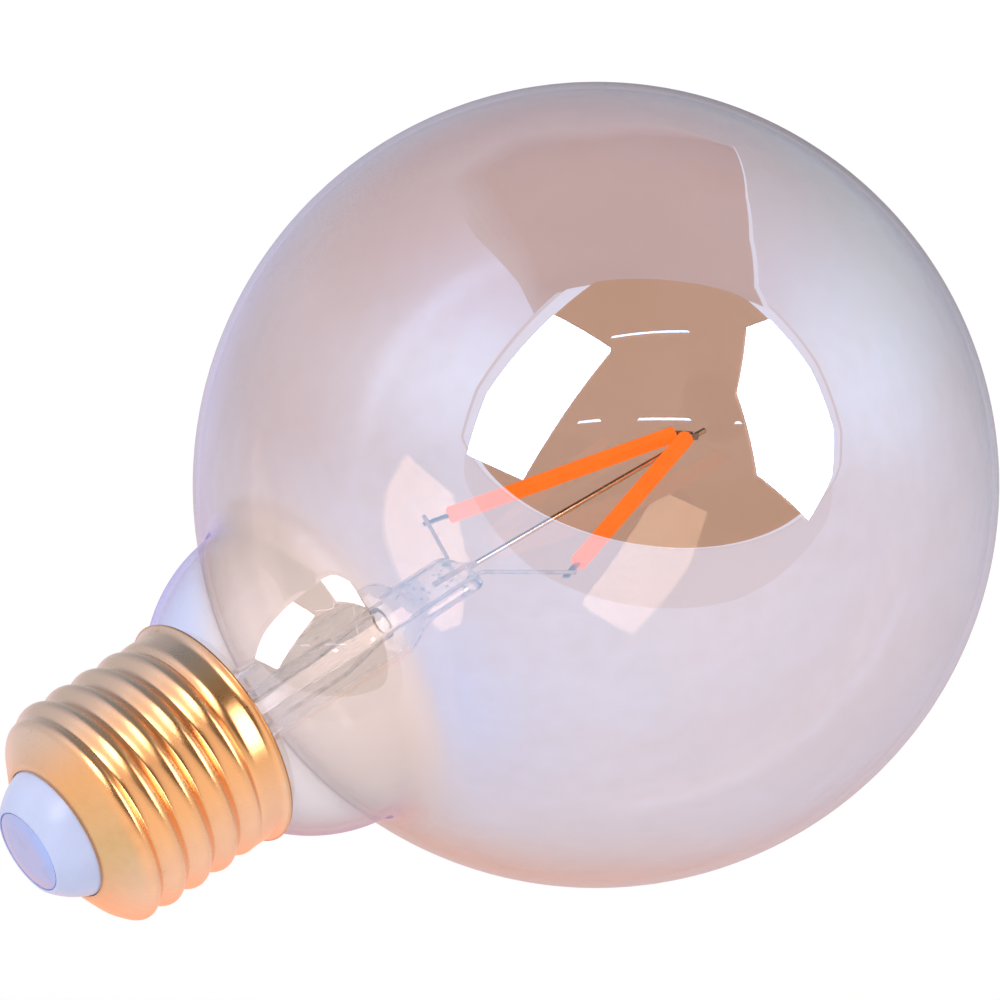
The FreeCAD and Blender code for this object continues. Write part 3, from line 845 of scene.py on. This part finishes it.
class BULB_OT_mount(bpy.types.Operator):
    """Bend the wires that carry the filaments"""

    bl_idname = "bulb.mount"
    bl_label = "Mount wires"

    def execute(self, context):
        settings = context.scene.bulb_mount
        stem = context.scene.bulb_stem
        nickel = speckled("nickel_wire", (0.95, 0.90, 0.88), (0.74, 0.68, 0.65), 900, 0.35, 0.3, 0.1)
        steel = speckled("tab_steel", (0.62, 0.58, 0.54), (0.42, 0.36, 0.32), 1200, 1.0, 0.3, 0.1)
        post_metal = speckled("post_metal", (0.90, 0.78, 0.62), (0.74, 0.60, 0.45), 700, 1.0, 0.14, 0.04)
        piece("post_wire", self.post(settings, stem), [post_metal], ["support_post"])
        for side in ("far", "near"):
            bm = self.lead(settings, stem)
            if side == "near":
                mirror(bm)
            piece(f"{side}_lead", bm, [nickel], [f"{side}_lead_wire"])
            dress(f"{side}_lower_tab", steel)
            dress(f"{side}_upper_tab", steel)
        return {"FINISHED"}

    def post(self, settings, stem):
        """Stiff wire from the press down the axis."""
        press, down = post_line(settings, stem)
        wire = Wire(bmesh.new(), press - down * settings.post_root, down, settings.post_radius, 16)
        wire.run(settings.post_root + settings.post_length)
        rim = list(wire.ring)
        return rounded(wire.end(), rim, settings.post_round, 3)

    def lead(self, settings, stem):
        """Wire from the stem through the press, bent out to the far filament."""
        wide, way = filament_line(settings, stem)
        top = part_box("far_lead_wire")[1].z
        weld = wide - way * settings.weld_lift
        side = weld.y - settings.lead_radius - settings.tab_thickness / 2 - settings.filament_gap
        weld.y = side
        shoulder = stem.shoulder_level
        corners = [
            Vector((settings.lead_stem_offset, settings.lead_stem_side, top)),
            Vector((settings.lead_stem_offset, settings.lead_stem_side, shoulder + settings.lead_settle)),
            Vector((settings.lead_offset, side, shoulder + settings.lead_rise)),
            Vector((settings.lead_offset, side, stem.press_end - settings.lead_bend)),
            weld,
        ]
        corners[-1] += (corners[-1] - corners[-2]).normalized() * settings.lead_overshoot
        return drawn_wire(corners, settings.lead_radius, settings.lead_bend)


class BULB_OT_filaments(bpy.types.Operator):
    """Form the two coated filaments"""

    bl_idname = "bulb.filaments"
    bl_label = "Filaments"

    def execute(self, context):
        settings = context.scene.bulb_mount
        phosphor = phosphor_coat(settings)
        for side in ("far", "near"):
            bm = self.rod(settings, context.scene.bulb_stem)
            if side == "near":
                mirror(bm)
            piece(f"{side}_rod", bm, [phosphor], [f"{side}_filament"])
        return {"FINISHED"}

    def rod(self, settings, stem):
        """Light rod that swells a little over each chip."""
        wide, way = filament_line(settings, stem)
        bm = bmesh.new()
        wire = Wire(bm, wide, way, settings.filament_radius, 24)
        ends = list(wire.ring)
        steps = settings.chips * 2
        for step in range(steps - 1):
            wire.run(settings.filament_length / steps)
            swell = CHIP_SWELL if step % 2 == 0 else 1 / CHIP_SWELL
            verts = list({vert for edge in wire.ring for vert in edge.verts})
            bmesh.ops.scale(bm, verts=verts, vec=(swell,) * 3, space=Matrix.Translation(-wire.spot))
        wire.run(settings.filament_length / steps)
        ends += wire.ring
        return rounded(wire.end(), ends, settings.filament_round, 4)


class BULB_OT_shell(bpy.types.Operator):
    """Roll the screw shell with its lip, thread and cone"""

    bl_idname = "bulb.shell"
    bl_label = "Screw shell"

    def execute(self, context):
        settings = context.scene.bulb_cap
        mean = (settings.crest_radius + settings.root_radius) / 2
        depth = (settings.crest_radius - settings.root_radius) / 2
        lip = (settings.lip_flare**2 + settings.lip_height**2) / (2 * settings.lip_flare)
        lip_turn = math.asin(settings.lip_height / lip)
        band_foot = SHELL_LOW.z + settings.lip_height
        band_top = settings.thread_bottom - (settings.band_radius - mean) * 2
        slope = self.cone_slope(settings, mean)
        outline = Section(settings.band_radius + settings.lip_flare, SHELL_LOW.z)
        outline.arc(settings.band_radius + lip, band_foot, -lip_turn, 8)
        outline.line(settings.band_radius, band_top, 8)
        outline.line(mean, settings.thread_bottom, 4)
        outline.line(mean, settings.thread_top, 72)
        outline.arc(mean - settings.shoulder_radius, settings.thread_top, slope, 10)
        outline.line(settings.end_radius, SHELL_HIGH.z, 6)
        bm = outline.turned(144)
        for vert in bm.verts:
            turn = math.atan2(vert.co.y, vert.co.x)
            wave = turn - FULL_TURN * vert.co.z / settings.pitch + settings.start
            rise = depth * self.thread_share(settings, vert.co.z) * math.cos(wave)
            vert.co += Vector((math.cos(turn), math.sin(turn), 0)) * rise
        made = piece("rolled_shell", bm, [brass(settings)], ["screw_shell"])
        wall = made.modifiers.new("sheet", "SOLIDIFY")
        wall.thickness = settings.sheet
        wall.offset = -1
        return {"FINISHED"}

    @staticmethod
    def cone_slope(settings, mean):
        """Turn of the shoulder's arc that ends along the cone."""
        rise = SHELL_HIGH.z - settings.thread_top
        narrowing = mean - settings.end_radius - settings.shoulder_radius
        spread = math.hypot(narrowing, rise)
        return math.atan2(narrowing, rise) + math.asin(settings.shoulder_radius / spread)

    @staticmethod
    def thread_share(settings, spot):
        """Share of the thread's depth at a level: it fades out at both ends."""
        fade = settings.pitch / 2
        low = (spot - settings.thread_bottom) / fade + 0.5
        high = (settings.thread_top - spot) / fade + 0.9
        return ease(min(low, high))


class BULB_OT_contact(bpy.types.Operator):
    """Turn the insulator and press the centre contact"""

    bl_idname = "bulb.contact"
    bl_label = "Insulator and contact"

    def execute(self, context):
        settings = context.scene.bulb_cap
        moulded = self.insulator(settings)
        piece("glazed_insulator", moulded, [moulding(settings)], ["cap_insulator"])
        pressed = self.contact(settings)
        piece("pressed_contact", pressed, [worn_contact(settings)], ["centre_contact"])
        return {"FINISHED"}

    def insulator(self, settings):
        """Bulged moulding with a recess for the contact and a hole for its shank."""
        recess = settings.contact_radius + settings.contact_gap
        top = Vector((recess + settings.rim, 0, INSULATOR_HIGH.z))
        edge = Vector((settings.end_radius, 0, SHELL_HIGH.z + settings.sheet / 10))
        chord = edge - top
        half = chord.length / 2
        radius = (half**2 + settings.bulge**2) / (2 * settings.bulge)
        out = Vector((-chord.z, 0, chord.x)).normalized()
        centre = (top + edge) / 2 - out * (radius - settings.bulge)
        turn = 2 * math.asin(half / radius)
        hole = settings.shank_radius + settings.sheet / 10
        outline = Section(hole, INSULATOR_LOW.z)
        outline.line(hole, -settings.contact_height)
        outline.line(recess, -settings.contact_height, 2)
        outline.line(recess, top.z)
        outline.line(top.x, top.z)
        outline.arc(centre.x, centre.z, -turn, 12)
        outline.line(settings.end_radius - settings.sheet, SHELL_HIGH.z - settings.sheet)
        outline.line(INSULATOR_HIGH.x - settings.sheet, INSULATOR_LOW.z)
        outline.line(hole, INSULATOR_LOW.z)
        bm = outline.turned(96)
        rim = [edge for edge in bm.edges if all((vert.co - top).z > -CLOSE for vert in edge.verts)]
        rim = [edge for edge in rim if all(vert.co.xy.length > top.x - CLOSE for vert in edge.verts)]
        return rounded(bm, rim, settings.rim_round, 4)

    def contact(self, settings):
        """Disc with a flat middle, a domed edge and a shank."""
        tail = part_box("centre_contact")[0].z
        reach = settings.contact_radius - settings.contact_flat
        dome = (reach**2 + settings.contact_dome**2) / (2 * settings.contact_dome)
        outline = Section(0, 0)
        outline.line(settings.contact_flat, 0, 4)
        outline.arc(settings.contact_flat, -dome, -math.asin(reach / dome), 10)
        outline.line(settings.contact_radius, -settings.contact_height)
        outline.line(settings.shank_radius, -settings.contact_height)
        outline.line(settings.shank_radius, tail)
        outline.line(0, tail)
        return outline.turned(96)


class BULB_OT_driver(bpy.types.Operator):
    """Finish the driver and the cement inside the cap"""

    bl_idname = "bulb.driver"
    bl_label = "Driver and cement"

    def execute(self, context):
        black = speckled("black_moulding", (0.03, 0.03, 0.032), (0.016, 0.016, 0.017), 700, 0.0, 0.45, 0.2)
        tinned = speckled("tinned_wire", (0.66, 0.65, 0.63), (0.5, 0.48, 0.46), 900, 1.0, 0.28, 0.1)
        cement = speckled("basing_cement", (0.62, 0.54, 0.42), (0.5, 0.42, 0.31), 500, 0.0, 0.8, 0.5)
        board = speckled("circuit_board", (0.05, 0.2, 0.09), (0.03, 0.14, 0.06), 350, 0.0, 0.4, 0.1)
        sleeve = speckled("capacitor_sleeve", (0.05, 0.06, 0.12), (0.03, 0.035, 0.08), 400, 0.0, 0.35, 0.1)
        coat = speckled("resistor_coat", (0.22, 0.42, 0.50), (0.17, 0.34, 0.42), 600, 0.0, 0.5, 0.2)
        finishes = {
            "cap_cement": cement,
            "driver_board": board,
            "bridge_rectifier": black,
            "driver_chip": black,
            "smoothing_capacitor": sleeve,
            "fuse_resistor": coat,
            "shell_wire": tinned,
        }
        for node, material in finishes.items():
            dress(node, material)
        return {"FINISHED"}


class BULB_OT_stage(bpy.types.Operator):
    """Set the camera, the floor and the light tent"""

    bl_idname = "bulb.stage"
    bl_label = "Stage"

    # Directions of the picture: its right, its bottom and into it
    right = Vector((-0.628, 0.245, -0.739)).normalized()
    down = Vector((-0.224, 0.852, 0.4726)).normalized()
    ahead = Vector((0.7455, 0.462, -0.480)).normalized()
    camera_shift = (-0.01133, 0.00175, -0.49487)
    # Corners as azimuth and elevation from the globe, in degrees
    left_edge = ((-36.4, 7.7), (-32.6, 23.7), (-16.2, 46.4))
    right_edge = ((60.6, 39.9), (66.3, 26.5), (68.4, 12.0), (66.3, 1.8))
    left_softbox = (left_edge[2], (4.2, 36.7), (-20.7, 1.2), left_edge[0], left_edge[1])
    right_softbox = (*right_edge, (59.4, -8.3), (43.2, 2.4), (40.1, 23.1), (50.8, 39.3))
    strips = (
        ((3.8, 39.8), (30.6, 40.2)),
        ((-6.3, 16.2), (0.4, 16.8)),
        ((10.3, 17.0), (25.5, 16.6)),
        ((37.7, 15.3), (40.1, 15.2)),
    )
    ceiling_soft = ((-23, 54), (-34, 63), (-72, 71), (-126, 66), (-155, 65), (180, 69), (160, 62))
    ceiling_crisp = ((148, 51), (112, 60.4), (83.5, 58), (63.5, 48.4), (61.5, 42.8), (0, 45))
    strip_lift = 0.65
    ceiling_steps = 6
    ceiling_fade = 1.6
    seam_side = (1.6, -0.6)
    opening_spot = (17.0, 21.0)
    opening_sides = (*zip(left_edge, left_edge[1:]), *zip(right_edge, right_edge[1:]))
    # Distances and sizes as shares of the cards' distance
    strip_nearness = 0.97
    softbox_nearness = 0.98
    seam_nearness = 1.09
    ceiling_nearness = 1.1
    ceiling_gap = 0.01
    tent_radius = 1.9
    opening_size = (1.28, 0.767)
    # Ovals in the opening: name, light, margin, distance and lift
    openings = (
        ("opening", 0.011, 0.0, 1.02, 0.0),
        ("hem", 1.1, 0.075, 1.04, 0.05),
        ("fold", 0.72, 0.1, 1.05, 0.06),
        ("apron", 0.82, 0.1, 1.06, -0.55),
    )
    # Places on the tent: azimuth, elevation and spread in degrees
    places = {
        "left": (-38, 30, 32),
        "right": (82, 20, 38),
        "upper": (-66, 44, 36),
        "lower": (108, -50, 40),
        "shade": (135, 48, 38),
        "wing": (-158, 0, 18),
        "hollow": (172, 14, 13),
        "dusk": (-80, -48, 24),
        "cast": (-172, -27, 30),
    }
    lilac = Vector((0.92, 0.92, 1.06))
    blue = Vector((0.65, 1.05, 1.35))
    warm = Vector((1.2, 0.66, 0.46))
    ceiling_dark = Vector((0.12, 0.20, 0.26))
    ceiling_pale = Vector((0.38, 0.42, 0.46))

    def execute(self, context):
        settings = context.scene.bulb_stage
        scene = context.scene
        scene.view_settings.view_transform = "Standard"
        self.centre = Vector((0, 0, GLOBE_LOW.z + scene.bulb_globe.radius))
        self.distance = settings.card_distance
        self.camera(scene, settings)
        self.room(scene, settings)
        self.floor(settings)
        self.tent()
        self.ceiling()
        for name, light, margin, farness, lift in self.openings:
            self.opening(f"tent_{name}", self.glow(f"{name}_glow", light), margin, farness, lift)
        bright = self.softbox(settings)
        self.card("left_softbox", self.left_softbox, bright, self.softbox_nearness)
        self.card("right_softbox", self.right_softbox, bright, self.softbox_nearness)
        lamp = self.glow("tube_glow", settings.softbox_light)
        lift = self.strip_lift
        for index, (start, end) in enumerate(self.strips):
            corners = (start, end, (end[0] - lift, end[1] + lift), (start[0] + lift, start[1] + lift))
            self.card(f"tube_lamp_{index}", corners, lamp, self.strip_nearness)
        return {"FINISHED"}

    def tent(self):
        """Fabric tent: lit through its two sides, with a pale table and a warm cast behind."""
        places = {name: (self.direction(*place[:2]), place[2]) for name, place in self.places.items()}
        bm = bmesh.new()
        bmesh.ops.create_uvsphere(
            bm,
            u_segments=192,
            v_segments=128,
            radius=self.distance * self.tent_radius,
            matrix=Matrix.Translation(self.centre),
        )
        glow = bm.verts.layers.float_color.new("glow")
        for vert in bm.verts:
            way = (vert.co - self.centre).normalized()
            rise = -way.dot(self.down)
            near = {name: self.lobe(way, *place) for name, place in places.items()}
            # Walls that are dimmer at the top, with two lit sides
            light = 0.57 - 0.19 * ease((rise - 0.42) / 0.35)
            light += 0.72 * near["left"]
            light += 0.66 * near["right"]
            # Pale table under the part
            table = 0.98 - 0.12 * way.dot(self.ahead) - 0.08 * abs(way.dot(self.right))
            light += (table - light) * ease((0.26 - rise) / 0.42)
            # Bright folds in the fabric
            light += 0.18 * self.fold(way, 70, 4) * near["upper"]
            light += 0.11 * self.fold(way, 102, 3) * near["lower"]
            # Cool shade and a bluer top, then the tinted places
            cooled = light * (1 - 0.05 * near["shade"])
            tone = Vector((light * (1 - 0.55 * near["shade"]), cooled, cooled))
            tone.z *= 1 + 0.1 * ease((rise - 0.5) / 0.3)
            tone = tone.lerp(self.lilac, near["wing"]) * (1 - 0.45 * near["hollow"])
            tone = tone.lerp(self.blue, near["dusk"])
            vert[glow] = (*tone.lerp(self.warm, near["cast"]), 1.0)
        material, tree = finish("tent_fabric")
        light = tree.node("ShaderNodeAttribute", {"attribute_name": "glow"}, out="Color")
        folds = 0.9 + 0.2 * tree.noise(5, 3, 0.55)
        tree.surface(tree.light(tree.vector("SCALE", {0: light, "Scale": folds}, "Vector")))
        material.cycles.emission_sampling = "NONE"
        self.hide(self.prop("tent", bm, material), "diffuse", "transmission")

    def ceiling(self):
        """Dim panel over the part, fading out at its left and back and pale along its right seam."""
        cards = []
        steps = self.ceiling_steps
        for step in range(steps):
            material, tree = finish(f"tent_ceiling_{step}")
            dim = self.ceiling_dark.lerp(self.ceiling_pale, step / steps)
            folds = tree.mix(tree.noise(3, 3, 0.55), rgba(dim * 0.85), rgba(dim * 1.2))
            tree.surface(tree.light(folds))
            material.cycles.emission_sampling = "NONE"
            fade = self.ceiling_fade * step
            corners = [(azimuth, elevation - fade) for azimuth, elevation in self.ceiling_soft]
            corners += self.ceiling_crisp
            nearness = self.ceiling_nearness + self.ceiling_gap * step
            cards.append(self.card(f"tent_ceiling_{step}", corners, material, nearness))
        seam = self.glow("seam_glow", 1.0)
        for index, (start, end) in enumerate(zip(self.ceiling_crisp, self.ceiling_crisp[1:-1])):
            across, up = self.seam_side
            corners = (start, end, (end[0] + across, end[1] + up), (start[0] + across, start[1] + up))
            cards.append(self.card(f"tent_seam_{index}", corners, seam, self.seam_nearness))
        for card in cards:
            self.hide(card, "diffuse", "transmission")

    @staticmethod
    def lobe(way, middle, degrees):
        """1 towards a middle direction, fading out round it."""
        return math.exp(-((way.angle(middle) / math.radians(degrees)) ** 2))

    def fold(self, way, degrees, spread):
        """1 along a fold round the tent at an angle from the camera, fading out beside it."""
        turn = math.degrees(way.angle(-self.ahead))
        return math.exp(-(((turn - degrees) / spread) ** 2))

    def direction(self, azimuth, elevation):
        """Direction from the globe: azimuth to the picture's right and elevation to its top."""
        across, up = math.radians(azimuth), math.radians(elevation)
        flat = math.cos(up)
        sideways = self.right * (math.sin(across) * flat)
        return sideways - self.down * math.sin(up) - self.ahead * (math.cos(across) * flat)

    def camera(self, scene, settings):
        """Camera in the photo's place."""
        data = bpy.data.cameras.new("photo_camera")
        data.lens = settings.lens
        data.sensor_width = 36.0
        data.clip_start = 0.01
        camera = bpy.data.objects.new("photo_camera", data)
        turn = Matrix((self.right, -self.down, -self.ahead)).transposed().to_4x4()
        across, down, ahead = self.camera_shift
        spot = self.centre + self.right * across + self.down * down + self.ahead * ahead
        camera.matrix_world = Matrix.Translation(spot) @ turn
        scene.collection.objects.link(camera)
        scene.camera = camera

    def room(self, scene, settings):
        """White room: full white where it shows and dimmer as light."""
        world = bpy.data.worlds.new("white_room")
        scene.world = world
        tree = Tree(world)
        seen = self.seen(tree)
        strength = settings.room_light + (1 - settings.room_light) * seen
        light = tree.node("ShaderNodeBackground", sockets={"Color": WHITE, "Strength": strength})
        tree.node("ShaderNodeOutputWorld", sockets={"Surface": light})

    @staticmethod
    def seen(tree):
        """1 for rays that show the background: to the camera, in a gloss or through glass."""
        paths = [
            tree.node("ShaderNodeLightPath", out=name)
            for name in ("Is Camera Ray", "Is Glossy Ray", "Is Transmission Ray")
        ]
        shown = tree.node("ShaderNodeMath", {"operation": "MAXIMUM"}, {0: paths[0], 1: paths[1]})
        return tree.node("ShaderNodeMath", {"operation": "MAXIMUM"}, {0: shown, 1: paths[2]})

    def floor(self, settings):
        """Pale floor far under the part."""
        bm = bmesh.new()
        spot = Vector((0, 0, GLOBE_LOW.z - settings.floor_gap))
        bmesh.ops.create_circle(
            bm, cap_ends=True, radius=settings.floor_radius, segments=96, matrix=Matrix.Translation(spot)
        )
        material, tree = finish("pale_floor")
        mottle = tree.mix(tree.noise(9, 2), (0.88, 0.88, 0.88, 1), (0.90, 0.90, 0.90, 1))
        lift = self.seen(tree) * 0.22
        matt = tree.principled({"Base Color": mottle, "Roughness": 0.9, "Specular IOR Level": 0.0})
        tree.surface(tree.node("ShaderNodeAddShader", sockets={0: matt, 1: tree.light(WHITE, lift)}))
        floor = self.prop("floor", bm, material)
        floor.visible_glossy = False

    def prop(self, name, bm, material):
        """Makes a bmesh a thing of the stage."""
        mesh = bpy.data.meshes.new(name)
        bm.to_mesh(mesh)
        bm.free()
        mesh.materials.append(material)
        made = bpy.data.objects.new(name, mesh)
        bpy.context.scene.collection.objects.link(made)
        return made

    @staticmethod
    def glow(name, value):
        """White glow that shows in reflections and isn't sampled as a lamp."""
        material, tree = finish(name)
        tree.surface(tree.light(WHITE, value))
        material.cycles.emission_sampling = "NONE"
        return material

    @staticmethod
    def softbox(settings):
        """Softbox fabric: its glare in glass and metal is far brighter than its light on the part."""
        material, tree = finish("softbox_glow")
        glare = tree.node("ShaderNodeLightPath", out="Is Glossy Ray")
        strength = settings.softbox_light + (settings.softbox_glare - settings.softbox_light) * glare
        tree.surface(tree.light(WHITE, strength))
        return material

    @staticmethod
    def hide(card, *rays):
        """Hides a card from the camera, from shadows and from other kinds of rays."""
        for ray in ("camera", "shadow", "volume_scatter", *rays):
            setattr(card, f"visible_{ray}", False)

    def opening(self, name, material, margin, farness, lift):
        """Oval card in the tent's opening, round the camera, wider by a margin and lifted."""
        centre = self.direction(*self.opening_spot)
        across = (self.right - centre * self.right.dot(centre)).normalized()
        up = centre.cross(across)
        turn = Matrix((across, up, centre)).transposed().to_4x4()
        distance = self.distance * farness
        bm = bmesh.new()
        bmesh.ops.create_circle(bm, cap_ends=True, radius=distance * (1 + margin), segments=96)
        bmesh.ops.scale(bm, verts=bm.verts[:], vec=(*self.opening_size, 1))
        bmesh.ops.translate(bm, verts=bm.verts[:], vec=(0, distance * lift, 0))
        bmesh.ops.transform(
            bm, verts=bm.verts[:], matrix=Matrix.Translation(self.centre + centre * distance) @ turn
        )
        for start, end in self.opening_sides:
            outward = self.direction(*start).cross(self.direction(*end)).normalized()
            outward *= -math.copysign(1, outward.dot(centre))
            bmesh.ops.bisect_plane(
                bm,
                geom=bm.verts[:] + bm.edges[:] + bm.faces[:],
                plane_co=self.centre + outward * (distance * margin),
                plane_no=outward,
                clear_outer=True,
            )
        self.hide(self.prop(name, bm, material), "diffuse")

    def card(self, name, corners, material, nearness):
        """Flat card whose corners lie in given directions from the globe."""
        ways = [self.direction(*corner) for corner in corners]
        middle = sum(ways, Vector()).normalized()
        bm = bmesh.new()
        for way in ways:
            bm.verts.new(self.centre + way * (self.distance * nearness / way.dot(middle)))
        bmesh.ops.contextual_create(bm, geom=bm.verts[:])
        card = self.prop(name, bm, material)
        self.hide(card)
        return card


class BULB_PT_panel(bpy.types.Panel):
    """Lists the steps that make the bulb"""

    bl_idname = "BULB_PT_panel"
    bl_label = "Globe Bulb"
    bl_space_type = "VIEW_3D"
    bl_region_type = "UI"
    bl_category = "Bulb"

    def draw(self, context):
        for step in STEPS:
            self.layout.operator(step.bl_idname)
        for name in SETTINGS:
            group = getattr(context.scene, name)
            box = self.layout.box()
            box.label(text=name.replace("_", " ").capitalize())
            for key in group.bl_rna.properties.keys():
                if key not in ("rna_type", "name"):
                    box.prop(group, key)


SETTINGS = {
    "bulb_globe": BulbGlobeSettings,
    "bulb_stem": BulbStemSettings,
    "bulb_mount": BulbMountSettings,
    "bulb_cap": BulbCapSettings,
    "bulb_stage": BulbStageSettings,
}
STEPS = (
    BULB_OT_globe,
    BULB_OT_stem,
    BULB_OT_mount,
    BULB_OT_filaments,
    BULB_OT_shell,
    BULB_OT_contact,
    BULB_OT_driver,
    BULB_OT_stage,
)


def register():
    for name, group in SETTINGS.items():
        bpy.utils.register_class(group)
        setattr(bpy.types.Scene, name, PointerProperty(type=group))
    for step in STEPS:
        bpy.utils.register_class(step)
    bpy.utils.register_class(BULB_PT_panel)


def unregister():
    bpy.utils.unregister_class(BULB_PT_panel)
    for step in reversed(STEPS):
        bpy.utils.unregister_class(step)
    for name, group in reversed(SETTINGS.items()):
        delattr(bpy.types.Scene, name)
        bpy.utils.unregister_class(group)


def main():
    register()
    bpy.ops.bulb.globe()
    bpy.ops.bulb.stem()
    bpy.ops.bulb.mount()
    bpy.ops.bulb.filaments()
    bpy.ops.bulb.shell()
    bpy.ops.bulb.contact()
    bpy.ops.bulb.driver()
    bpy.ops.bulb.stage()


if __name__ == "__main__":
    main()
